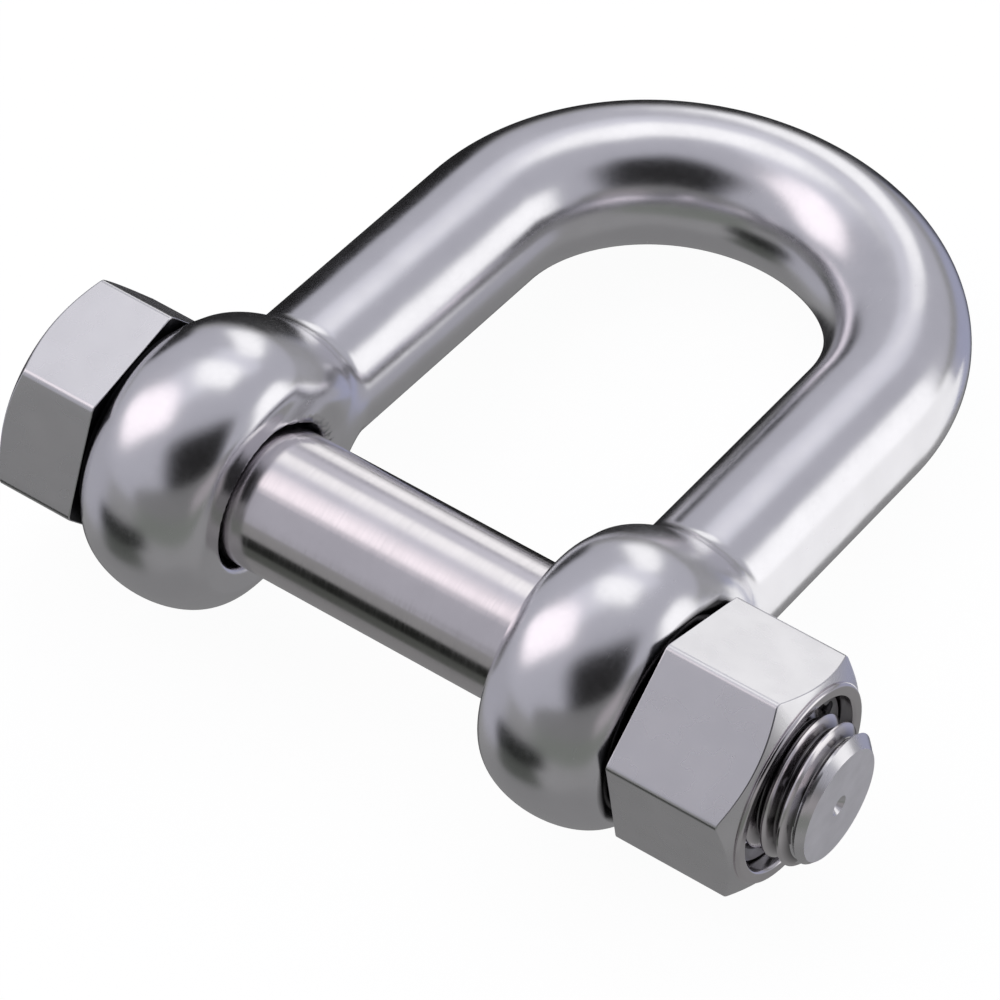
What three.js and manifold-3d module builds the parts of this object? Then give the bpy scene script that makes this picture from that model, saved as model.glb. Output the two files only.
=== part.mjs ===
// Dee shackle with a hexagon bolt and an all-metal lock nut, bolt size M20, in millimetres.
//
// Frame: the origin is the centre of the bolt head's end face. X runs along the bolt's axis from its
// head to its nut, Y runs from the bolt to the crown of the bow, and Z is square to the plane of the
// bow, so the shackle lies on its side. The pieces are drawn about the middle of the jaw, and the
// whole is moved along X at the end of the file.

import * as THREE from 'three';
import { mergeVertices } from 'three/addons/utils/BufferGeometryUtils.js';
import Module from 'manifold-3d';

const wasm = await Module();
wasm.setup();

// Driving dimensions: the bolt size and the clear width of the jaw set most of the rest.
const BOLT_D = 20;
const JAW_WIDTH = 2.2 * BOLT_D;
const GAP = 0.3;

// The bow: a round bar with two straight legs and a half-round crown, and an eye at each end.
const BAR_R = BOLT_D / 2;
const CROWN_R = 1.55 * BOLT_D;
const LEG_LENGTH = 3.05 * BOLT_D;
const EYE_R = 0.99 * BOLT_D;
const EYE_THICKNESS = 0.97 * BOLT_D;
const EYE_BULGE = 0.28 * BOLT_D;
const NECK_R = 0.72 * BOLT_D;
const NECK_Y = 0.465 * BOLT_D;
const EYE_X = (JAW_WIDTH + EYE_THICKNESS) / 2;
const EYE_FACE_X = EYE_X + EYE_THICKNESS / 2;
const BOLT_HOLE_R = 1.08 * BOLT_D / 2;

// The bolt and nut: M20 sizes, coarse pitch, 30 mm across the flats.
const PITCH = BOLT_D / 8;
const ACROSS_FLATS = 1.5 * BOLT_D;
const HEX_CORNER_R = ACROSS_FLATS / Math.sqrt(3);
const HEAD_HEIGHT = 0.685 * BOLT_D;
const BOLT_LENGTH = 5.44 * BOLT_D;
const HEAD_FACE_X = -EYE_FACE_X - GAP;
const HEAD_TOP_X = HEAD_FACE_X - HEAD_HEIGHT;
const BOLT_END_X = HEAD_FACE_X + BOLT_LENGTH;
const HEAD_TURN = THREE.MathUtils.degToRad(15);

const THREAD_START_X = EYE_FACE_X - PITCH;
const THREAD_CREST_R = 0.985 * BOLT_D / 2;
const THREAD_DEPTH = 0.5413 * PITCH;
const THREAD_ROOT_R = THREAD_CREST_R - THREAD_DEPTH;
const END_CHAMFER = THREAD_DEPTH + 0.3;
const CENTRE_MARK_R = 1.2;

const NUT_FACE_X = EYE_FACE_X + GAP;
const NUT_HEIGHT = 0.98 * BOLT_D;
const NUT_BORE_R = THREAD_CREST_R + GAP + 0.1;
const NUT_TURN = THREE.MathUtils.degToRad(46);
const HEX_CHAMFER_SLOPE = Math.tan(Math.PI / 6);

// Both hexagons have their corners cut off steeply on the side that faces an eye.
const BEARING_R = 0.52 * ACROSS_FLATS;
const BEARING_CHAMFER = 0.075 * BOLT_D;

// The nut's collar is rolled over the thin friction ring that grips the thread.
const COLLAR_R = 0.72 * BOLT_D;
const COLLAR_LIP_R = 0.05 * BOLT_D;
const RING_SEAT_R = 0.62 * BOLT_D;
const RING_SEAT_DEPTH = 0.2 * BOLT_D;
const RING_THICKNESS = 0.07 * BOLT_D;
const RING_BORE_R = NUT_BORE_R;

// How finely round shapes are divided.
const BAR_SIDES = 32;
const BAR_STEPS = 44;
const ROUND_SIDES = 40;
const THREAD_SIDES = 24;
const CORNER_STEPS = 5;
const BULGE_STEPS = 7;

// ---- solids ----

// Joins a closed geometry's shared vertices and makes it a solid that can be joined and cut.
function solidOf(geometry) {
  const plain = geometry.clone();
  plain.deleteAttribute('normal');
  plain.deleteAttribute('uv');
  const merged = mergeVertices(plain);
  const corners = merged.getIndex().array;
  const triVerts = [];
  for (let i = 0; i < corners.length; i += 3) {
    const [a, b, c] = corners.slice(i, i + 3);
    if (a !== b && b !== c && c !== a) triVerts.push(a, b, c);
  }
  return new wasm.Manifold(new wasm.Mesh({
    numProp: 3,
    vertProperties: new Float32Array(merged.getAttribute('position').array),
    triVerts: new Uint32Array(triVerts),
  }));
}

// Turns a solid back into a geometry for a mesh.
function geometryOf(solid) {
  const { vertProperties, triVerts } = solid.getMesh();
  const geometry = new THREE.BufferGeometry();
  geometry.setAttribute('position', new THREE.BufferAttribute(vertProperties, 3));
  geometry.setIndex(new THREE.BufferAttribute(triVerts, 1));
  geometry.computeVertexNormals();
  return geometry;
}

// Revolves an outline of [x, radius] points about the X axis. It starts and ends on the axis,
// or closes on itself, and runs from -X to +X along its outer side.
function revolved(outline, sides = ROUND_SIDES) {
  const points = outline.map(([x, r]) => new THREE.Vector2(r, x));
  return solidOf(new THREE.LatheGeometry(points, sides).rotateZ(-Math.PI / 2));
}

// Points [x, radius] along part of an ellipse that reaches halfX along the axis and halfR away from it,
// its angles in degrees from +X towards larger radius.
function arc(centreX, centreR, halfX, halfR, from, to, steps = CORNER_STEPS) {
  return Array.from({ length: steps + 1 }, (_, i) => {
    const angle = THREE.MathUtils.degToRad(from + (to - from) * i / steps);
    return [centreX + halfX * Math.cos(angle), centreR + halfR * Math.sin(angle)];
  });
}

// A hexagonal prism along X from x0 to x1, with one corner turned from +Y towards +Z.
function hexPrism(x0, x1, turn) {
  const prism = new THREE.CylinderGeometry(HEX_CORNER_R, HEX_CORNER_R, x1 - x0, 6);
  prism.rotateZ(-Math.PI / 2);
  prism.rotateX(turn + Math.PI / 2);
  prism.translate((x0 + x1) / 2, 0, 0);
  return solidOf(prism);
}

// A plain round bar along X.
function roundBar(x0, x1, r, sides = ROUND_SIDES) {
  return revolved([[x0, 0], [x0, r], [x1, r], [x1, 0]], sides);
}

// ---- shackle body ----

// The bar's centreline: up one leg, half a circle over the crown, and down the other leg.
// The legs lean out a little towards the eyes.
class BowCentreline extends THREE.Curve {
  getPoint(t, point = new THREE.Vector3()) {
    const crownLength = Math.PI * CROWN_R;
    const along = t * (2 * LEG_LENGTH + crownLength);
    const onLeg = Math.min(along, 2 * LEG_LENGTH + crownLength - along);
    if (onLeg < LEG_LENGTH) {
      const x = THREE.MathUtils.lerp(EYE_X, CROWN_R, onLeg / LEG_LENGTH);
      return point.set(t < 0.5 ? -x : x, onLeg, 0);
    }
    const angle = Math.PI - (along - LEG_LENGTH) / CROWN_R;
    return point.set(CROWN_R * Math.cos(angle), LEG_LENGTH + CROWN_R * Math.sin(angle), 0);
  }
}

function bowBar() {
  const section = new THREE.Shape().absarc(0, 0, BAR_R, 0, 2 * Math.PI);
  return solidOf(new THREE.ExtrudeGeometry(section, {
    curveSegments: BAR_SIDES / 2,
    steps: BAR_STEPS,
    extrudePath: new BowCentreline(),
  }));
}

// A thick disc on the +X side of the jaw, with flat faces and an edge that bulges like a barrel.
function bulgingDisc(r) {
  return revolved([
    [JAW_WIDTH / 2, 0],
    ...arc(EYE_X, r - EYE_BULGE, EYE_THICKNESS / 2, EYE_BULGE, 180, 0, 2 * BULGE_STEPS),
    [EYE_FACE_X, 0],
  ]);
}

// An eye, with the shorter shoulder at its neck where the bar leaves it.
function eye(side) {
  const onNutSide = bulgingDisc(EYE_R).add(bulgingDisc(NECK_R).translate([0, NECK_Y, 0]));
  return side > 0 ? onNutSide : onNutSide.mirror([1, 0, 0]);
}

function shackleBody() {
  const blank = bowBar().add(eye(-1)).add(eye(1));
  const boltHoles = roundBar(-2 * EYE_X, 2 * EYE_X, BOLT_HOLE_R);
  return geometryOf(blank.subtract(boltHoles));
}

// ---- bolt ----

// A right-hand screw thread along X. One pitch of its outline is a flank up, a crest, a flank
// down and a root, and each column of points is carried along X as it goes round the axis.
function screwThread(startX, turns) {
  const crest = PITCH / 8;
  const flank = THREAD_DEPTH * Math.tan(Math.PI / 6);
  const onePitch = [
    [0, THREAD_ROOT_R],
    [flank, THREAD_CREST_R],
    [flank + crest, THREAD_CREST_R],
    [2 * flank + crest, THREAD_ROOT_R],
  ];
  const rowsPerTurn = onePitch.length;
  const rows = rowsPerTurn * turns + 1;
  const positions = [];
  for (let column = 0; column < THREAD_SIDES; column++) {
    const share = column / THREAD_SIDES;
    for (let row = 0; row < rows; row++) {
      const [x, r] = onePitch[row % rowsPerTurn];
      const turnsAlong = Math.floor(row / rowsPerTurn) + share;
      const angle = 2 * Math.PI * share;
      positions.push(startX + x + PITCH * turnsAlong, r * Math.cos(angle), r * Math.sin(angle));
    }
  }

  // A whole turn on, a column is the first one again, one pitch further along.
  const at = (column, row) => (column < THREAD_SIDES ? column * rows + row : row + rowsPerTurn);
  const triangles = [];
  for (let column = 0; column < THREAD_SIDES; column++) {
    const rowsHere = column < THREAD_SIDES - 1 ? rows : rows - rowsPerTurn;
    for (let row = 0; row < rowsHere - 1; row++) {
      const [a, b] = [at(column, row), at(column, row + 1)];
      const [c, d] = [at(column + 1, row + 1), at(column + 1, row)];
      triangles.push([a, c, b], [a, d, c]);
    }
  }

  // Each end's open edge is closed by a fan from a point on the axis.
  const middleX = startX + PITCH * turns / 2;
  const startCentre = positions.length / 3;
  positions.push(startX, 0, 0);
  positions.push(startX + PITCH * (turns + 1), 0, 0);
  const edges = triangles.flatMap(([a, b, c]) => [[a, b], [b, c], [c, a]]);
  const used = new Set(edges.map((edge) => edge.join()));
  for (const [from, to] of edges) {
    if (used.has([to, from].join())) continue;
    triangles.push([to, from, positions[3 * from] < middleX ? startCentre : startCentre + 1]);
  }

  const geometry = new THREE.BufferGeometry();
  geometry.setAttribute('position', new THREE.Float32BufferAttribute(positions, 3));
  geometry.setIndex(triangles.flat());
  return solidOf(geometry);
}

function hexBolt() {
  const flatR = 0.95 * ACROSS_FLATS / 2;
  const chamferX = (HEX_CORNER_R - flatR) * HEX_CHAMFER_SLOPE;
  const headLimits = revolved([
    [HEAD_TOP_X, 0],
    [HEAD_TOP_X, flatR],
    [HEAD_TOP_X + chamferX, HEX_CORNER_R],
    [HEAD_FACE_X - BEARING_CHAMFER, HEX_CORNER_R],
    [HEAD_FACE_X, BEARING_R],
    [HEAD_FACE_X, 0],
  ]);
  const head = hexPrism(HEAD_TOP_X, HEAD_FACE_X, HEAD_TURN).intersect(headLimits);
  const shank = roundBar(HEAD_FACE_X - GAP, THREAD_START_X, BOLT_D / 2);

  const threadTurns = Math.ceil((BOLT_END_X - THREAD_START_X) / PITCH) + 2;
  const threadLimits = revolved([
    [THREAD_START_X - GAP, 0],
    [THREAD_START_X - GAP, BOLT_D / 2],
    [BOLT_END_X - END_CHAMFER, BOLT_D / 2],
    [BOLT_END_X, BOLT_D / 2 - END_CHAMFER],
    [BOLT_END_X, 0],
  ]);
  const thread = screwThread(THREAD_START_X - 1.5 * PITCH, threadTurns).intersect(threadLimits);
  const centreMark = revolved([
    [BOLT_END_X - CENTRE_MARK_R, 0],
    [BOLT_END_X + CENTRE_MARK_R, 2 * CENTRE_MARK_R],
    [BOLT_END_X + CENTRE_MARK_R, 0],
  ]);
  return geometryOf(head.add(shank).add(thread).subtract(centreMark));
}

// ---- lock nut ----

// The hexagon is cut from the outer outline, so what stands above it is the round collar.
function lockNut() {
  const topX = NUT_FACE_X + NUT_HEIGHT;
  const hexTopX = topX - 2 * COLLAR_LIP_R / 3;
  const chamferX = (HEX_CORNER_R - COLLAR_R) * HEX_CHAMFER_SLOPE;
  const outside = revolved([
    [NUT_FACE_X, 0],
    [NUT_FACE_X, BEARING_R],
    [NUT_FACE_X + BEARING_CHAMFER, HEX_CORNER_R],
    [hexTopX - chamferX, HEX_CORNER_R],
    [hexTopX, COLLAR_R],
    ...arc(topX - COLLAR_LIP_R, COLLAR_R - COLLAR_LIP_R, COLLAR_LIP_R, COLLAR_LIP_R, 90, 0),
    [topX, 0],
  ]);
  const bore = roundBar(NUT_FACE_X - GAP, topX + GAP, NUT_BORE_R);
  const leadIn = revolved([
    [NUT_FACE_X - GAP, 0],
    [NUT_FACE_X - GAP, NUT_BORE_R + THREAD_DEPTH],
    [NUT_FACE_X + THREAD_DEPTH, NUT_BORE_R],
    [NUT_FACE_X + THREAD_DEPTH, 0],
  ]);
  const ringSeat = roundBar(topX - RING_SEAT_DEPTH, topX + GAP, RING_SEAT_R);
  const hexagon = hexPrism(NUT_FACE_X, topX, NUT_TURN).intersect(outside);
  return geometryOf(hexagon.subtract(bore).subtract(leadIn).subtract(ringSeat));
}

// The thin spring-steel ring lies in the collar, on the floor of its seat.
function lockRing() {
  const floorX = NUT_FACE_X + NUT_HEIGHT - RING_SEAT_DEPTH + GAP;
  const topX = floorX + RING_THICKNESS;
  const outerR = RING_SEAT_R - GAP;
  const edge = RING_THICKNESS / 4;
  return geometryOf(revolved([
    [floorX, RING_BORE_R],
    [floorX, outerR],
    [topX - edge, outerR],
    [topX, outerR - edge],
    [topX, RING_BORE_R + edge],
    [topX - edge, RING_BORE_R],
    [floorX, RING_BORE_R],
  ]));
}

// ---- assembly ----

const polishedSteel = new THREE.MeshStandardMaterial({
  color: 0xd3d1d6, metalness: 1, roughness: 0.12,
});
const turnedSteel = new THREE.MeshStandardMaterial({
  color: 0xc4c2c6, metalness: 1, roughness: 0.3,
});
const springSteel = new THREE.MeshStandardMaterial({
  color: 0x9a9a9c, metalness: 1, roughness: 0.35,
});

function part(name, geometry, material) {
  const mesh = new THREE.Mesh(geometry, material);
  mesh.name = name;
  return mesh;
}

const deeShackle = new THREE.Group();
deeShackle.add(
  part('shackle_body', shackleBody(), polishedSteel),
  part('hex_bolt', hexBolt(), turnedSteel),
  part('lock_nut', lockNut(), turnedSteel),
  part('lock_ring', lockRing(), springSteel),
);
deeShackle.position.x = -HEAD_TOP_X;

export default deeShackle;
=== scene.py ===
"""Looks of the dee shackle.

Fine meshes, steel materials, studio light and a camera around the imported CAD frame.
"""

import math

import bmesh
import bpy
import numpy as np
from mathutils import Matrix, Vector


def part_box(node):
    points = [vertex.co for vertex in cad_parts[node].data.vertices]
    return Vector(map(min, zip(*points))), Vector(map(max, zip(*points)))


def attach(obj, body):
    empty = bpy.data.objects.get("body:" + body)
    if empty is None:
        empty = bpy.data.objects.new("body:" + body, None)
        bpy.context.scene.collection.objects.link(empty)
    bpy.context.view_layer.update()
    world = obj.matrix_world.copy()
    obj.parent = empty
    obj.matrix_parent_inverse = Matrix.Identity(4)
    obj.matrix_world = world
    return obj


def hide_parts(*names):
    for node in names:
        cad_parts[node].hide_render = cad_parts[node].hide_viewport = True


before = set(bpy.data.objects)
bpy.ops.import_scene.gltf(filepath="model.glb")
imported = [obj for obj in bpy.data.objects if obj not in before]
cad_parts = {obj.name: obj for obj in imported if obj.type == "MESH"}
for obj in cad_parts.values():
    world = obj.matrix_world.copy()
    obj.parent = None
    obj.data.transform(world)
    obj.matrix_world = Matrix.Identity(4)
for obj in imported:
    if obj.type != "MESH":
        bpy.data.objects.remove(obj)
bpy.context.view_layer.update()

# ---- sizes, from the frame's boxes and the shackle's proportions ----

body_low, body_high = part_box("shackle_body")
bolt_low, bolt_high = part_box("hex_bolt")
nut_low, nut_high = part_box("lock_nut")
ring_low, ring_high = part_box("lock_ring")

EYE_R = -body_low.y
BOLT_D = EYE_R / 0.99
MM = BOLT_D / 20

JAW_MID_X = (body_low.x + body_high.x) / 2
JAW_X = 1.1 * BOLT_D
EYE_THICKNESS = 0.97 * BOLT_D
EYE_FACE_X = JAW_X + EYE_THICKNESS
EYE_X = JAW_X + EYE_THICKNESS / 2
EYE_BULGE = 0.28 * BOLT_D
NECK_R = 0.72 * BOLT_D
NECK_Y = 0.465 * BOLT_D
HOLE_R = 1.08 * BOLT_D / 2
HOLE_RIM = 0.8 * MM
NECK_FILLET = 3 * MM
BAR_FILLET = 1.6 * MM

BAR_R = BOLT_D / 2
CROWN_R = 1.55 * BOLT_D
CROWN_Y = body_high.y - CROWN_R - BAR_R

PITCH = BOLT_D / 8
APOTHEM = 0.75 * BOLT_D
CREST_R = 0.985 * BOLT_D / 2
THREAD_DEPTH = 0.5413 * PITCH
THREAD_START_X = JAW_MID_X + EYE_FACE_X - PITCH
HEAD_FACE_X = 0.685 * BOLT_D
HEAD_TURN = math.radians(15)
NUT_TURN = math.radians(46)
CHAMFER_SLOPE = math.tan(math.radians(30))
# A round washer face stands proud of each hexagon and rests on its eye.
WASHER_R = 0.7 * BOLT_D
WASHER_STEP = 0.55 * MM
EDGE_ROUND = 1.1 * MM
COLLAR_R = 0.72 * BOLT_D
RING_SEAT_R = 0.62 * BOLT_D

# Points closer than WELD are one point, and HAIR is a distance too small to matter.
WELD = 0.004 * MM
HAIR = 0.01 * MM

# The shackle lies on its eyes and on the crown's bar, so the floor leans by this angle in the frame.
FLOOR_TILT = math.asin((EYE_R - BAR_R) / (CROWN_Y + CROWN_R))


# ---- mesh helpers ----

def mesh_object(name, points, faces, body, slot, *materials):
    """Makes a piece from points and faces, with nearby points joined, and lets it ride on its CAD body."""
    mesh = bpy.data.meshes.new(name)
    mesh.from_pydata([tuple(p) for p in points], [], faces)
    work = bmesh.new()
    work.from_mesh(mesh)
    bmesh.ops.remove_doubles(work, verts=work.verts, dist=WELD)
    bmesh.ops.dissolve_degenerate(work, edges=work.edges, dist=WELD)
    bmesh.ops.recalc_face_normals(work, faces=work.faces)
    work.to_mesh(mesh)
    work.free()
    piece = bpy.data.objects.new(name, mesh)
    bpy.context.scene.collection.objects.link(piece)
    for material in materials:
        mesh.materials.append(material)
    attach(piece, body)
    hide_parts(body)
    return piece


def smooth_by_angle(piece, degrees=32):
    """Smooth shading that keeps flats flat: edges over the angle stay sharp."""
    piece.data.shade_smooth()
    piece.data.set_sharp_from_angle(angle=math.radians(degrees))
    weighted = piece.modifiers.new("flats", "WEIGHTED_NORMAL")
    weighted.keep_sharp = True


def polar(x, r, angle):
    """The point at distance r from the bolt's axis, its angle measured from +Y towards +Z."""
    return (x, r * math.cos(angle), r * math.sin(angle))


def rounded(outline, radii, steps=3):
    """An [x, r] outline with its inner corners rounded. Every corner gives steps + 1 points."""
    points = [outline[0]]
    for before, corner, after, radius in zip(outline, outline[1:], outline[2:], radii):
        a, b, c = Vector(before), Vector(corner), Vector(after)
        into, out = (b - a), (c - b)
        if min(into.length, out.length) < 1e-7 or radius == 0:
            points += [corner] * (steps + 1)
            continue
        turn = into.angle(out)
        tangent = min(radius * math.tan(turn / 2), 0.45 * into.length, 0.45 * out.length)
        start, end = b - into.normalized() * tangent, b + out.normalized() * tangent
        for i in range(steps + 1):
            t = i / steps
            # A quadratic curve through the corner's tangents is a close match to a small arc.
            points.append(tuple(start * (1 - t) ** 2 + b * 2 * t * (1 - t) + end * t ** 2))
    points.append(outline[-1])
    return points


def skin(columns, wrap_rows=False):
    """Points and quads through columns of points; the last column joins the first."""
    rows = len(columns[0])
    points = [p for column in columns for p in column]
    faces = []
    for j in range(len(columns)):
        here, beside = j * rows, (j + 1) % len(columns) * rows
        for i in range(rows if wrap_rows else rows - 1):
            up = (i + 1) % rows
            faces.append((here + i, beside + i, beside + up, here + up))
    return points, faces


def joined(*parts):
    """Joins several (points, faces) lists into one."""
    points, faces = [], []
    for more_points, more_faces in parts:
        start = len(points)
        points += more_points
        faces += [tuple(i + start for i in face) for face in more_faces]
    return points, faces


# ---- shackle body: an implicit surface, so that the bar flows into its eyes with small fillets ----

def smooth_min(a, b, width):
    closeness = np.maximum(width - np.abs(a - b), 0) / width
    return np.minimum(a, b) - closeness ** 2 * width / 4


def bulging_disc(outwards, radius, disc_r):
    """Distance to an eye's disc, from its mid-plane: flat faces and an elliptical bulge round the edge."""
    squash = EYE_BULGE / (EYE_THICKNESS / 2)
    into_bulge = np.maximum(radius - disc_r + EYE_BULGE, 0)
    return np.hypot(outwards * squash, into_bulge) - EYE_BULGE


def bow_bar(x, y, z):
    """Distance to the bar: two legs that lean out towards the eyes, and a half-round crown."""
    lean = (EYE_X - CROWN_R) * (1 - np.clip(y / CROWN_Y, -1, 1))
    leg = np.hypot(x - CROWN_R - lean, z)
    crown = np.hypot(np.hypot(x, y - CROWN_Y) - CROWN_R, z)
    return np.maximum(np.where(y > CROWN_Y, crown, leg) - BAR_R, -y)


def shackle_distance(points):
    x, y, z = np.abs(points[:, 0] - JAW_MID_X), points[:, 1], points[:, 2]
    from_axis = np.hypot(y, z)
    eye = bulging_disc(x - EYE_X, from_axis, EYE_R)
    neck = bulging_disc(x - EYE_X, np.hypot(y - NECK_Y, z), NECK_R)
    solid = smooth_min(smooth_min(eye, neck, NECK_FILLET), bow_bar(x, y, z), BAR_FILLET)
    return -smooth_min(-solid, from_axis - HOLE_R, HOLE_RIM)


def slopes(points, step=0.001 * MM):
    """The direction in which the distance grows, at each point."""
    found = np.zeros_like(points)
    for axis in range(3):
        offset = np.zeros(3)
        offset[axis] = step
        ahead, behind = shackle_distance(points + offset), shackle_distance(points - offset)
        found[:, axis] = (ahead - behind) / (2 * step)
    return found


def rough_bow():
    """Overlapping shells near the final surface: a swept bar and two eye rings, as one mesh."""
    sides, leg_steps, crown_steps, eye_sides = 40, 40, 80, 80
    start_y = 0.6 * BOLT_D
    leg_ys = [start_y + (CROWN_Y - start_y) * i / leg_steps for i in range(leg_steps)]
    centres = [(-(CROWN_R + (EYE_X - CROWN_R) * (1 - y / CROWN_Y)), y, (1, 0)) for y in leg_ys]
    for i in range(crown_steps + 1):
        angle = math.pi * (1 - i / crown_steps)
        out = (-math.cos(angle), -math.sin(angle))
        centres.append((CROWN_R * math.cos(angle), CROWN_Y + CROWN_R * math.sin(angle), out))
    centres += [(-x, y, (-out[0], out[1])) for x, y, out in reversed(centres[:leg_steps])]
    points = []
    for x, y, (in_x, in_y) in centres:
        for k in range(sides):
            a = 2 * math.pi * k / sides
            side = BAR_R * math.cos(a)
            points.append((JAW_MID_X + x + in_x * side, y + in_y * side, BAR_R * math.sin(a)))
    faces = []
    for j in range(len(centres) - 1):
        for k in range(sides):
            beside = (k + 1) % sides
            faces.append((j * sides + k, j * sides + beside, (j + 1) * sides + beside, (j + 1) * sides + k))
    faces.append(tuple(range(sides)))
    faces.append(tuple(range(len(points) - sides, len(points))))
    parts = [(points, faces)]
    inset = 2 * MM
    for side in (-1, 1):
        outline = [(JAW_X, HOLE_R), (JAW_X, EYE_R - inset), (JAW_X + inset, EYE_R),
                   (EYE_FACE_X - inset, EYE_R), (EYE_FACE_X, EYE_R - inset), (EYE_FACE_X, HOLE_R)]
        columns = []
        for j in range(eye_sides):
            angle = 2 * math.pi * j / eye_sides
            columns.append([polar(JAW_MID_X + side * x, r, angle) for x, r in outline])
        parts.append(skin(columns, wrap_rows=True))
    return joined(*parts)


def shackle_body(material):
    """Even quads from a remesh of the rough bow, moved exactly onto the implicit surface."""
    passes, longest_move, least_slope = 12, 0.5 * MM, 0.5
    points, faces = rough_bow()
    piece = mesh_object("bow_with_eyes", points, faces, "shackle_body", "polished_steel", material)
    remesh = piece.modifiers.new("even quads", "REMESH")
    remesh.mode = "VOXEL"
    remesh.voxel_size = 0.5 * MM
    evaluated = piece.evaluated_get(bpy.context.evaluated_depsgraph_get())
    mesh = bpy.data.meshes.new_from_object(evaluated)
    piece.modifiers.clear()
    piece.data = mesh
    mesh.materials.clear()
    mesh.materials.append(material)
    places = np.empty(len(mesh.vertices) * 3)
    mesh.vertices.foreach_get("co", places)
    places = places.reshape(-1, 3)
    for _ in range(passes):
        slope = slopes(places)
        size = np.maximum((slope ** 2).sum(1), least_slope ** 2)
        move = -(shackle_distance(places) / size)[:, None] * slope
        places = places + np.clip(move, -longest_move, longest_move)
    mesh.vertices.foreach_set("co", places.ravel())
    mesh.update()
    mesh.shade_smooth()
    normals = slopes(places)
    normals /= np.linalg.norm(normals, axis=1)[:, None]
    mesh.normals_split_custom_set_from_vertices([tuple(n) for n in normals])
    return piece


# ---- hexagons and threads ----

def hexagon_angles(turn):
    """Column angles round the axis: even steps over each flat, close ones round each corner."""
    flat_end = math.atan(math.tan(math.radians(30)) * (APOTHEM - EDGE_ROUND) / APOTHEM)
    corner = math.radians(30) - flat_end
    over_flat = [flat_end * (i / 8 - 1) for i in range(17)]
    round_corner = [flat_end + corner * i / 3 for i in range(1, 6)]
    sector = over_flat + round_corner
    first_flat = turn + math.radians(30)
    return [first_flat + math.radians(60) * k + a for k in range(6) for a in sector]


def hexagon_radius(angle, turn):
    """Distance from the axis to the hexagon's side at an angle, with its corners rounded."""
    sector = math.radians(60)
    from_corner = (angle - turn + sector / 2) % sector - sector / 2
    centre = (APOTHEM - EDGE_ROUND) / math.cos(sector / 2)
    flat_end = math.atan(math.tan(sector / 2) * (APOTHEM - EDGE_ROUND) / APOTHEM)
    if abs(from_corner) > sector / 2 - flat_end:
        return APOTHEM / math.cos(sector / 2 - abs(from_corner))
    across = centre * math.sin(from_corner)
    return centre * math.cos(from_corner) + math.sqrt(EDGE_ROUND ** 2 - across ** 2)


# One pitch of the thread's outline, as [share of the pitch, share of the depth].
THREAD_OUTLINE = [(0.0, 0.0), (0.06, -0.07), (0.125, -0.1), (0.19, -0.07), (0.25, 0.0),
                  (0.40, 0.5), (0.545, 0.94), (0.58, 1.0), (0.67, 1.0), (0.705, 0.94), (0.85, 0.5)]


def screw_thread(angles, start_x, end_x, root_r, depth, keep):
    """A right-hand thread as points and faces. keep(x, r) trims the radius, and rows beyond the ends fold
    onto the end rings, so that they join the neighbouring surface."""
    first = math.floor((start_x - THREAD_START_X) / PITCH) - 2
    last = math.ceil((end_x - THREAD_START_X) / PITCH) + 2
    rows = [(turn + share, height) for turn in range(first, last) for share, height in THREAD_OUTLINE]
    turn_rows = len(THREAD_OUTLINE)
    points = []
    for angle in angles:
        for along, height in rows:
            free_x = THREAD_START_X + PITCH * (along + angle / (2 * math.pi))
            x = min(max(free_x, start_x), end_x)
            points.append(polar(x, keep(x, root_r + depth * height), angle))
    faces = []
    count = len(rows)
    for j in range(len(angles)):
        seam = j == len(angles) - 1
        beside = 0 if seam else (j + 1) * count
        shift = turn_rows if seam else 0
        for i in range(count - 1 - shift):
            faces.append((j * count + i, beside + i + shift, beside + i + 1 + shift, j * count + i + 1))
    return points, faces


def round_washer_face(face, washer_x):
    """Whether a face of the mesh is on the step round the washer face at washer_x."""
    from_axis = math.hypot(face.center.y, face.center.z)
    return from_axis > WASHER_R and abs(face.center.x - washer_x) < WASHER_STEP + HAIR


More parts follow.
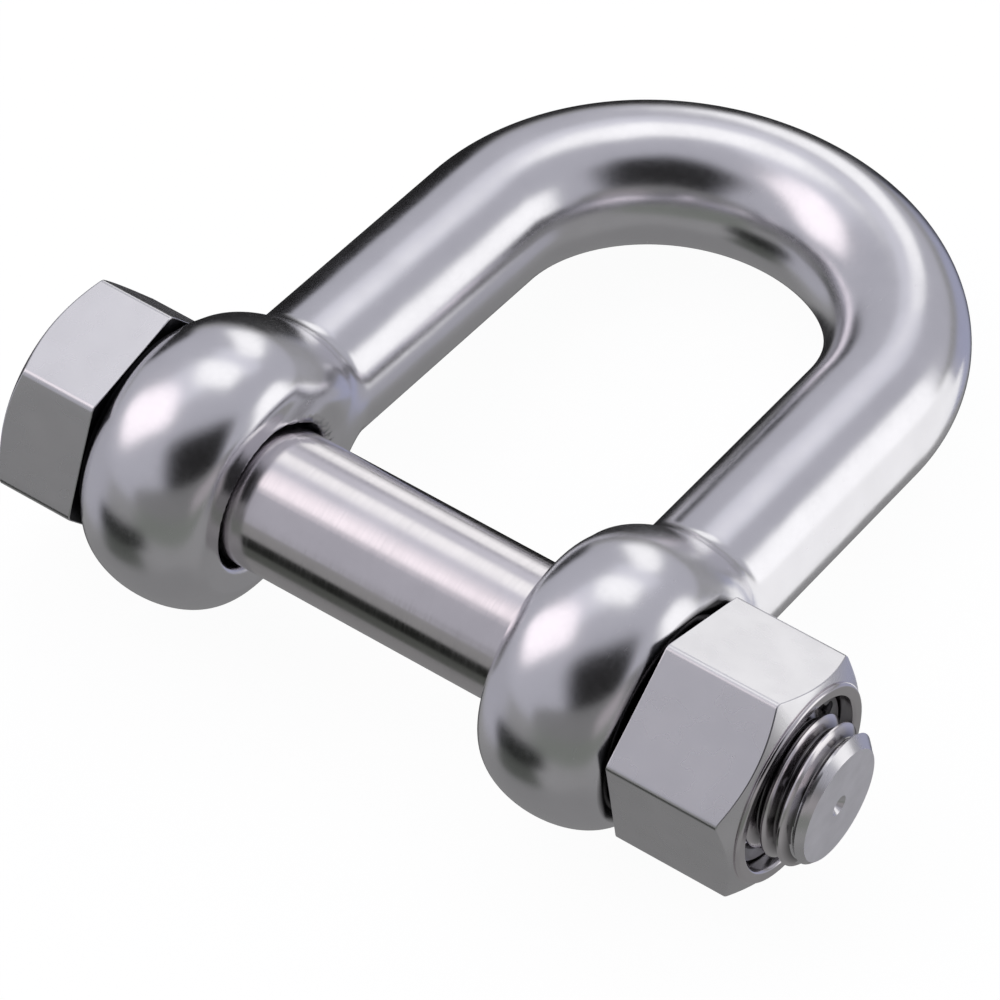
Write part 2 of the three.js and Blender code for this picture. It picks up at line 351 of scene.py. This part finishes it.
def hex_bolt(satin, turned, sawn, shaded_step):
    """Head, shank, thread and end. Each face gets its material from where it is."""
    angles = hexagon_angles(HEAD_TURN)
    flat_r = 0.95 * APOTHEM
    shank_r = BOLT_D / 2
    end_r = CREST_R - THREAD_DEPTH - 0.45 * MM
    chamfer_x = bolt_high.x - (CREST_R - end_r)
    mark_r = 1.3 * MM

    def head_column(angle):
        r = hexagon_radius(angle, HEAD_TURN)
        outline = rounded([
            (0, 0.5 * flat_r),
            (0, flat_r),
            ((r - flat_r) * CHAMFER_SLOPE, r),
            (HEAD_FACE_X - WASHER_STEP, r),
            (HEAD_FACE_X - WASHER_STEP, WASHER_R + WASHER_STEP),
            (HEAD_FACE_X, WASHER_R),
            (HEAD_FACE_X, shank_r + 0.1 * MM),
        ], [0.4 * MM, 0.3 * MM, 0.2 * MM, 0.1 * MM, 0.2 * MM])
        return [polar(x, r, angle) for x, r in [(0, 0)] + outline]

    def shank_column(angle):
        neck = [(HEAD_FACE_X, shank_r + 0.1 * MM), (HEAD_FACE_X + 0.5 * MM, shank_r)]
        lengths = [(HEAD_FACE_X + (THREAD_START_X - HEAD_FACE_X) * i / 24, shank_r) for i in range(1, 25)]
        return [polar(x, r, angle) for x, r in neck + lengths]

    def end_column(angle):
        outline = [(bolt_high.x, end_r), (bolt_high.x, 0.9 * end_r), (bolt_high.x, 0.6 * end_r),
                   (bolt_high.x, mark_r + 0.15 * MM), (bolt_high.x - 0.15 * MM, mark_r),
                   (bolt_high.x - mark_r, 0.15 * MM), (bolt_high.x - mark_r, 0)]
        return [polar(x, r, angle) for x, r in outline]

    def keep(x, r):
        run_out = min(max((x - THREAD_START_X) / PITCH, 0), 1)
        full = shank_r - (shank_r - r) * run_out
        return min(full, CREST_R - max(x - chamfer_x, 0)) if x > THREAD_START_X + PITCH else full

    head = skin([head_column(a) for a in angles])
    shank = skin([shank_column(a) for a in angles])
    thread = screw_thread(angles, THREAD_START_X, bolt_high.x, CREST_R - THREAD_DEPTH, THREAD_DEPTH, keep)
    end = skin([end_column(a) for a in angles])
    points, faces = joined(head, shank, thread, end)
    materials = (satin, turned, sawn, shaded_step)
    bolt = mesh_object("hex_bolt_fine", points, faces, "hex_bolt", "turned_steel", *materials)
    for face in bolt.data.polygons:
        if face.center.x > bolt_high.x - HAIR:
            face.material_index = 2
        elif HEAD_FACE_X + HAIR < face.center.x < chamfer_x:
            face.material_index = 1
        # The step round the washer face takes the nearly black painted shade of the gap against the eye.
        elif round_washer_face(face, HEAD_FACE_X):
            face.material_index = 3
    smooth_by_angle(bolt)
    return bolt


def lock_nut(satin, turned, shaded_step):
    """The hexagon with its rolled collar and ring seat, and a thread in phase with the bolt's."""
    angles = hexagon_angles(NUT_TURN)
    bottom, top = nut_low.x, nut_high.x
    lip = 1.0 * MM
    hex_top = top - 0.7 * MM
    floor_x = top - 0.2 * BOLT_D
    bore_r = CREST_R + 0.25 * MM
    mouth_r = bore_r + 0.5 * MM

    def outer_column(angle):
        r = hexagon_radius(angle, NUT_TURN)
        groove_r = COLLAR_R - 0.3 * MM
        outline = rounded([
            (bottom, mouth_r),
            (bottom, WASHER_R),
            (bottom + WASHER_STEP, WASHER_R + WASHER_STEP),
            (bottom + WASHER_STEP, r),
            (hex_top - (r - COLLAR_R) * CHAMFER_SLOPE, r),
            (hex_top, COLLAR_R),
            (hex_top + 0.05 * MM, groove_r),
            (hex_top + 0.3 * MM, COLLAR_R - 0.1 * MM),
            (top, COLLAR_R - 0.35 * MM),
            (top, RING_SEAT_R + 0.2 * lip),
            (top - 0.4 * lip, RING_SEAT_R),
            (floor_x, RING_SEAT_R),
            (floor_x, mouth_r),
        ], [0.2 * MM, 0.1 * MM, 0.2 * MM, 0.3 * MM, 0, 0, 0.1 * MM, 0.4 * MM, 0.3 * MM, 0.3 * MM, 0.2 * MM])
        return [polar(x, r, angle) for x, r in outline]

    def keep(x, r):
        inwards = min(x - bottom, floor_x - x)
        return max(r, mouth_r - max(inwards, 0))

    outer = skin([outer_column(a) for a in angles])
    thread = screw_thread(angles, bottom, floor_x, bore_r - THREAD_DEPTH, THREAD_DEPTH, keep)
    points, faces = joined(outer, thread)
    nut = mesh_object("lock_nut_fine", points, faces, "lock_nut", "turned_steel", satin, turned, shaded_step)
    for face in nut.data.polygons:
        if math.hypot(face.center.y, face.center.z) < COLLAR_R - 0.05 * MM:
            face.material_index = 1
        # The step round the washer face takes the nearly black painted shade of the gap against the eye.
        elif round_washer_face(face, bottom):
            face.material_index = 2
    smooth_by_angle(nut)
    return nut


def lock_ring(material):
    """A thin steel ring whose inner edge is cut into springy tabs."""
    tabs, sides, slot_share, steepness = 6, 144, 0.09, 120
    outer_r, inner_r = ring_high.z, CREST_R + 0.4 * MM
    slot_depth = 0.55 * (outer_r - inner_r)
    columns = []
    for j in range(sides):
        angle = 2 * math.pi * j / sides
        from_slot = abs((angle * tabs / (2 * math.pi)) % 1 - 0.5)
        slot = 1 / (1 + math.exp((from_slot - slot_share) * steepness))
        r = inner_r + slot_depth * slot
        bottom, top = ring_low.x, ring_high.x
        middle = (bottom + top) / 2
        outline = rounded([
            (middle, r), (bottom, r), (bottom, outer_r), (top, outer_r), (top, r), (middle, r),
        ], [0.2 * MM] * 4)
        columns.append([polar(x, r, angle) for x, r in outline])
    points, faces = skin(columns)
    ring = mesh_object("lock_ring_fine", points, faces, "lock_ring", "spring_steel", material)
    smooth_by_angle(ring)
    return ring


# ---- materials ----

def link(tree, value, socket):
    """Connects a node output to a socket, or sets the socket to a plain value."""
    if isinstance(value, bpy.types.NodeSocket):
        tree.links.new(value, socket)
    else:
        socket.default_value = value


def node(tree, kind, *values, out=0, **settings):
    """Adds a node, sets its properties, feeds its first inputs and returns one of its outputs."""
    made = tree.nodes.new("ShaderNode" + kind)
    for key, value in settings.items():
        setattr(made, key, value)
    for socket, value in zip(made.inputs, values):
        if value is not None:
            link(tree, value, socket)
    return made.outputs[out]


def math_node(tree, operation, *values):
    return node(tree, "Math", *values, operation=operation)


def noise(tree, place, scale, detail=3.0, roughness=0.55):
    """Noise around 0.5 at a number of features per metre."""
    made = tree.nodes.new("ShaderNodeTexNoise")
    link(tree, place, made.inputs["Vector"])
    made.inputs["Scale"].default_value = scale
    made.inputs["Detail"].default_value = detail
    made.inputs["Roughness"].default_value = roughness
    return made.outputs["Fac"]


def spread(tree, value, low, high):
    """Maps noise from about 0.3..0.7 to low..high."""
    return node(tree, "MapRange", value, 0.3, 0.7, low, high, clamp=True)


def stretched(tree, place, scale):
    return node(tree, "Mapping", place, None, None, scale, vector_type="POINT")


def bumped(tree, *layers):
    """Stacks bump layers of (height, distance in metres) into one normal."""
    normal = None
    for height, distance in layers:
        bump = tree.nodes.new("ShaderNodeBump")
        bump.inputs["Strength"].default_value = 1.0
        bump.inputs["Distance"].default_value = distance
        link(tree, height, bump.inputs["Height"])
        if normal is not None:
            tree.links.new(normal, bump.inputs["Normal"])
        normal = bump.outputs["Normal"]
    return normal


def distance_from_axis(tree, place):
    """How far a point is from the bolt's axis, in metres."""
    across = node(tree, "VectorMath", place, (0, 1, 1), operation="MULTIPLY")
    return node(tree, "VectorMath", across, operation="LENGTH", out=1)


def steel(name, colour, shade, roughness, normal_layers):
    """A steel material. Each of shade, roughness and normal_layers is a function of (tree, place)."""
    material = bpy.data.materials.new(name)
    material.use_nodes = True
    tree = material.node_tree
    surface = tree.nodes["Principled BSDF"]
    place = node(tree, "TexCoord", out=3)
    tint = node(tree, "VectorMath", colour, None, operation="SCALE")
    link(tree, shade(tree, place), tint.node.inputs["Scale"])
    tree.links.new(tint, surface.inputs["Base Color"])
    surface.inputs["Metallic"].default_value = 1.0
    link(tree, roughness(tree, place), surface.inputs["Roughness"])
    link(tree, bumped(tree, *normal_layers(tree, place)), surface.inputs["Normal"])
    return material


def scratches(tree, place, along, across, amount):
    """Fine lines that run along one direction: 1 on a line, 0 elsewhere."""
    lines = noise(tree, stretched(tree, place, (along, across, across)), 1.0, 2.0)
    return node(tree, "MapRange", lines, 0.62, 0.72, 0.0, amount, clamp=True)


def polished_steel():
    """The bow: polished and handled, with painted shade where the head and the nut press on the eyes."""
    def shade(tree, place):
        patches = spread(tree, noise(tree, place, 140), 0.955, 1.0)
        along = node(tree, "VectorMath", place, (1, 0, 0), operation="DOT_PRODUCT", out=1)
        outwards = math_node(tree, "ABSOLUTE", math_node(tree, "SUBTRACT", along, JAW_MID_X))
        # Painted shade for the gap under the head and the nut: the eye turns almost black towards its outer
        # faces, but only near the bolt's axis.
        gap_shade_from, gap_shade_to = EYE_FACE_X - 0.5 * MM, EYE_FACE_X - 0.15 * MM
        inside = node(tree, "MapRange", outwards, gap_shade_from, gap_shade_to, 1.0, 0.04)
        radius = distance_from_axis(tree, place)
        beyond = node(tree, "MapRange", radius, 0.8 * BOLT_D, 0.84 * BOLT_D, 0.0, 1.0)
        return math_node(tree, "MULTIPLY", patches, math_node(tree, "MAXIMUM", inside, beyond))

    def roughness(tree, place):
        patches = spread(tree, noise(tree, place, 90, 5), 0.19, 0.25)
        smears = spread(tree, noise(tree, place, 1400, 2), -0.015, 0.02)
        lines = scratches(tree, place, 5200, 300, 0.03)
        return math_node(tree, "ADD", math_node(tree, "ADD", patches, smears), lines)

    def layers(tree, place):
        waves = noise(tree, place, 55, 2)
        peel = noise(tree, place, 420, 2)
        lines = noise(tree, stretched(tree, place, (6000, 500, 500)), 1.0, 2)
        return (waves, 0.2 * MM), (peel, 0.005 * MM), (lines, 0.0008 * MM)

    return steel("polished_steel", (0.83, 0.82, 0.85), shade, roughness, layers)


def turned_steel():
    """Turned round surfaces: fine rings round the bolt's axis, and painted shade in the roots of the
    threads.
    """
    def shade(tree, place):
        patches = spread(tree, noise(tree, place, 160), 0.93, 1.0)
        # Painted shade: darker nearer the axis across the thread's depth, so the roots of the threads and
        # the nut's bore look shadowed.
        root_shade_from, root_shade_to = CREST_R - THREAD_DEPTH, CREST_R - 0.2 * THREAD_DEPTH
        root_shading = node(tree, "MapRange", distance_from_axis(tree, place), root_shade_from, root_shade_to, 0.25, 1.0)
        return math_node(tree, "MULTIPLY", patches, root_shading)

    def roughness(tree, place):
        patches = spread(tree, noise(tree, place, 120, 4), 0.14, 0.19)
        rings = spread(tree, noise(tree, stretched(tree, place, (4500, 60, 60)), 1.0), -0.03, 0.04)
        return math_node(tree, "ADD", patches, rings)

    def layers(tree, place):
        rings = noise(tree, stretched(tree, place, (3800, 40, 40)), 1.0, 3)
        grain = noise(tree, place, 2500, 2)
        return (rings, 0.002 * MM), (grain, 0.0008 * MM)

    return steel("turned_steel", (0.78, 0.75, 0.77), shade, roughness, layers)


def satin_steel():
    """The hexagons' sides: flat, finely blasted and tumbled."""
    def shade(tree, place):
        return spread(tree, noise(tree, place, 150, 2), 0.95, 1.0)

    def roughness(tree, place):
        return spread(tree, noise(tree, place, 220, 2), 0.25, 0.29)

    def layers(tree, place):
        swell = noise(tree, place, 90, 2)
        grain = noise(tree, place, 2200, 2)
        return (swell, 0.03 * MM), (grain, 0.0015 * MM)

    return steel("satin_steel", (0.78, 0.77, 0.79), shade, roughness, layers)


def shaded_step_steel():
    """The step round each washer face, nearly black: painted shade for the gap where the washer face rests
    on its eye.
    """
    def shade(tree, place):
        # Painted shade: a colour of 0.07 stands in for the shadow in the gap against the eye.
        return spread(tree, noise(tree, place, 400, 3), 0.7, 1.0)

    def roughness(tree, place):
        return spread(tree, noise(tree, place, 600, 3), 0.4, 0.55)

    def layers(tree, place):
        return ((noise(tree, place, 900, 3), 0.004 * MM),)

    return steel("shaded_step_steel", (0.07, 0.07, 0.075), shade, roughness, layers)


def sawn_steel():
    """The bolt's sawn end: paler and rougher, with faint arcs from the saw."""
    def shade(tree, place):
        return spread(tree, noise(tree, place, 300, 2), 0.92, 1.0)

    def roughness(tree, place):
        return spread(tree, noise(tree, place, 500, 2), 0.56, 0.66)

    def layers(tree, place):
        return ((noise(tree, stretched(tree, place, (300, 300, 2600)), 1.0, 2), 0.008 * MM),)

    return steel("sawn_steel", (0.93, 0.92, 0.96), shade, roughness, layers)


def spring_steel():
    """The lock ring: dull, dark rolled strip."""
    def shade(tree, place):
        return spread(tree, noise(tree, place, 300, 4), 0.45, 0.65)

    def roughness(tree, place):
        return spread(tree, noise(tree, place, 400, 4), 0.28, 0.42)

    def layers(tree, place):
        return ((noise(tree, stretched(tree, place, (900, 2600, 900)), 1.0, 3), 0.006 * MM),)

    return steel("spring_steel", (0.58, 0.58, 0.60), shade, roughness, layers)


# ---- studio: floor, light and camera ----

TO_FLOOR = Matrix.Rotation(FLOOR_TILT, 3, "X")


def towards(azimuth, elevation):
    """A direction in the room, in degrees: azimuth from +Y (the crown) towards +X (the nut), and
    elevation above the floor."""
    a, e = math.radians(azimuth), math.radians(elevation)
    return TO_FLOOR @ Vector((math.sin(a) * math.cos(e), math.cos(a) * math.cos(e), math.sin(e)))


def card(tree, direction, light, azimuth, elevation, width, height, colour, roll=0, edge=0.35):
    """Lays a soft-edged card over the light from a direction. Its size is in degrees either side."""
    centre = towards(azimuth, elevation)
    right = towards(azimuth + 90, 0)
    up = right.cross(centre)
    turn = Matrix.Rotation(math.radians(roll), 3, centre)
    right, up = turn @ right, turn @ up
    facing = node(tree, "VectorMath", direction, centre, operation="DOT_PRODUCT", out=1)
    across = node(tree, "VectorMath", direction, right / math.tan(math.radians(width)),
                  operation="DOT_PRODUCT", out=1)
    upwards = node(tree, "VectorMath", direction, up / math.tan(math.radians(height)),
                   operation="DOT_PRODUCT", out=1)
    place = node(tree, "CombineXYZ", math_node(tree, "DIVIDE", across, facing),
                 math_node(tree, "DIVIDE", upwards, facing), 0.0)
    squared = node(tree, "VectorMath", place, place, operation="MULTIPLY")
    size = node(tree, "VectorMath", squared, operation="LENGTH", out=1)
    inside = node(tree, "MapRange", size, 1 + edge, max(1 - edge, 0), 0.0, 1.0,
                  interpolation_type="SMOOTHSTEP")
    ahead = math_node(tree, "GREATER_THAN", facing, 0.0)
    mask = math_node(tree, "MULTIPLY", inside, ahead)
    mix = tree.nodes.new("ShaderNodeMix")
    mix.data_type = "RGBA"
    link(tree, mask, mix.inputs[0])
    link(tree, light, mix.inputs[6])
    link(tree, (*colour, 1.0), mix.inputs[7])
    return mix.outputs[2]


def grey(level, tint=(1.0, 1.0, 1.0)):
    return tuple(level * t for t in tint)


LAVENDER = (0.98, 0.98, 1.08)
BLUISH = (0.96, 0.99, 1.3)
PINKISH = (1.05, 0.98, 1.02)
GREENISH = (0.95, 1.02, 0.92)


def studio_light():
    """Soft white boxes, grey walls and floor, and black flags, as the polished steel mirrors them."""
    world = bpy.data.worlds.new("studio")
    bpy.context.scene.world = world
    world.use_nodes = True
    tree = world.node_tree
    tree.nodes.clear()
    direction = node(tree, "TexCoord", out=0)
    height = node(tree, "VectorMath", direction, towards(0, 90), operation="DOT_PRODUCT", out=1)
    walls = node(tree, "MapRange", height, -0.03, 0.03, 0.0, 1.0, interpolation_type="SMOOTHSTEP")
    base = tree.nodes.new("ShaderNodeMix")
    base.data_type = "RGBA"
    link(tree, walls, base.inputs[0])
    link(tree, (*grey(0.29), 1.0), base.inputs[6])
    link(tree, (*grey(0.47, LAVENDER), 1.0), base.inputs[7])
    light = base.outputs[2]

    def add(azimuth, elevation, width, height, colour, roll=0, edge=0.35):
        nonlocal light
        light = card(tree, direction, light, azimuth, elevation, width, height, colour, roll, edge)

    # The floor: darker straight below and in front, bluish on the crown's side.
    add(0, -90, 40, 40, grey(0.24), edge=0.5)
    add(-110, -18, 26, 22, grey(0.42, LAVENDER), edge=0.6)
    add(8, -27, 30, 16, grey(0.38, BLUISH), edge=0.5)
    add(42, -22, 18, 15, grey(0.4, LAVENDER), edge=0.5)
    add(150, -12, 45, 14, grey(0.2, GREENISH), edge=0.6)
    add(-148, -42, 15, 12, grey(0.09, GREENISH), edge=0.6)
    add(-152, -28, 21, 9, grey(0.015, GREENISH), edge=0.5)
    # The dark room around the camera, which ends sharply above the front wall.
    add(135, 43, 36, 27, grey(0.015), edge=0.65)
    add(140, 10, 60, 14, grey(0.2), edge=0.12)
    add(113, 5, 18, 9, grey(0.38, PINKISH), edge=0.6)
    # A dark floor and a black flag behind the left leg.
    add(-38, -31, 24, 24, grey(0.012), edge=0.35)
    add(-56, -8, 11, 17, grey(0.01), edge=0.4)
    # The light boxes: upper walls, overhead, key, a leaning strip and a leaning card.
    add(-62, 63, 24, 14, grey(0.72, LAVENDER), edge=0.6)
    add(-12, 42, 16, 10, grey(0.72, LAVENDER), edge=0.5)
    add(-21, 60, 16, 13, grey(1.2), edge=0.5)
    add(-112, 43, 18, 24, grey(1.25, PINKISH), edge=0.4)
    add(-18, 18, 8, 17, grey(1.15), roll=28, edge=0.5)
    add(50, 5, 16, 24, grey(1.2), roll=-16, edge=0.4)

    seen = node(tree, "LightPath", out=0)
    room = node(tree, "Background", light, 1.0)
    backdrop = node(tree, "Background", (1.0, 1.0, 1.0, 1.0), 1.0)
    mix = tree.nodes.new("ShaderNodeMixShader")
    tree.links.new(seen, mix.inputs[0])
    tree.links.new(room, mix.inputs[1])
    tree.links.new(backdrop, mix.inputs[2])
    output = tree.nodes.new("ShaderNodeOutputWorld")
    tree.links.new(mix.outputs[0], output.inputs[0])


def bare_material(name):
    """A material without nodes, and its node tree."""
    material = bpy.data.materials.new(name)
    material.use_nodes = True
    material.node_tree.nodes.clear()
    return material, material.node_tree


def finish_material(tree, surface):
    output = tree.nodes.new("ShaderNodeOutputMaterial")
    tree.links.new(surface, output.inputs[0])


def floor():
    """A pale round floor that fades to the white backdrop, with only a faint contact shadow."""
    radius, shadow_share, brightness = 15 * BOLT_D, 0.1, 1.06
    centre = Vector((JAW_MID_X, (body_low.y + body_high.y) / 2, 0))
    down = -towards(0, 90)
    lowest = max(down.dot(Vector((JAW_MID_X, 0, 0))) + EYE_R,
                 down.dot(Vector((JAW_MID_X, CROWN_Y + CROWN_R, 0))) + BAR_R)
    centre += down * (lowest + 0.1 * MM - down.dot(centre))
    work = bmesh.new()
    bmesh.ops.create_circle(work, cap_ends=True, segments=96, radius=radius)
    mesh = bpy.data.meshes.new("floor")
    work.to_mesh(mesh)
    work.free()
    plane = bpy.data.objects.new("floor", mesh)
    bpy.context.scene.collection.objects.link(plane)
    plane.matrix_world = Matrix.Translation(centre) @ TO_FLOOR.to_4x4()
    plane.visible_glossy = False
    plane.visible_diffuse = False
    material, tree = bare_material("pale_floor")
    place = node(tree, "TexCoord", out=3)
    distance = node(tree, "VectorMath", place, operation="LENGTH", out=1)
    near = node(tree, "MapRange", distance, 0.35 * radius, 0.9 * radius, 1.0, 0.0,
                interpolation_type="SMOOTHSTEP")
    shaded = node(tree, "BsdfDiffuse", (0.9, 0.9, 0.9, 1.0))
    plain = node(tree, "Emission", (1.0, 1.0, 1.0, 1.0), brightness)
    mix = tree.nodes.new("ShaderNodeMixShader")
    link(tree, math_node(tree, "MULTIPLY", near, shadow_share), mix.inputs[0])
    tree.links.new(plain, mix.inputs[1])
    tree.links.new(shaded, mix.inputs[2])
    finish_material(tree, mix.outputs[0])
    mesh.materials.append(material)


def low_card():
    """A folded white card beside the leg on the nut's side: one half lies by its foot, the other stands
    up from it. It is seen only in the steel."""
    near, far, height = 1.3 * BOLT_D, 5.5 * BOLT_D, 0.8 * BOLT_D
    edge, fold = JAW_MID_X + 2.3 * BOLT_D, JAW_MID_X + 2.9 * BOLT_D
    up = towards(0, 90)
    corners = [Vector((x, y, 0)) - up * BAR_R for x in (edge, fold) for y in (near, far)]
    corners += [corner + up * height for corner in corners[2:]]
    mesh = bpy.data.meshes.new("low_card")
    mesh.from_pydata([tuple(corner) for corner in corners], [], [(0, 1, 3, 2), (2, 3, 5, 4)])
    card_object = bpy.data.objects.new("low_card", mesh)
    bpy.context.scene.collection.objects.link(card_object)
    card_object.visible_camera = False
    card_object.visible_diffuse = False
    card_object.visible_shadow = False
    material, tree = bare_material("lit_card")
    finish_material(tree, node(tree, "Emission", (1.0, 1.0, 1.0, 1.0), 1.0))
    mesh.materials.append(material)


def camera():
    """A long lens from the nut's side, 49 degrees above the floor, as a product photo is taken."""
    azimuth, elevation = 144.32, 49.42
    distance = 45.4 * BOLT_D
    towards_camera = towards(azimuth, elevation)
    right = towards(azimuth - 90, 0)
    up = towards_camera.cross(right)
    jaw_middle = Vector((JAW_MID_X, 0, 0))
    # The frame's middle lies beside the jaw's, towards the nut and the crown.
    target = jaw_middle + right * 0.6035 * BOLT_D + up * 0.452 * BOLT_D
    place = jaw_middle + towards_camera * distance
    data = bpy.data.cameras.new("camera")
    # Both in millimetres.
    data.lens = 252.2
    data.sensor_width = 36
    view = bpy.data.objects.new("camera", data)
    bpy.context.scene.collection.objects.link(view)
    view.location = place
    back = (place - target).normalized()
    side = up.cross(back).normalized()
    above = back.cross(side)
    view.rotation_euler = Matrix((side, above, back)).transposed().to_euler()
    bpy.context.scene.camera = view


satin, turned, shaded_step = satin_steel(), turned_steel(), shaded_step_steel()
shackle_body(polished_steel())
hex_bolt(satin, turned, sawn_steel(), shaded_step)
lock_nut(satin, turned, shaded_step)
lock_ring(spring_steel())
studio_light()
floor()
low_card()
camera()
bpy.context.scene.view_settings.view_transform = "Standard"
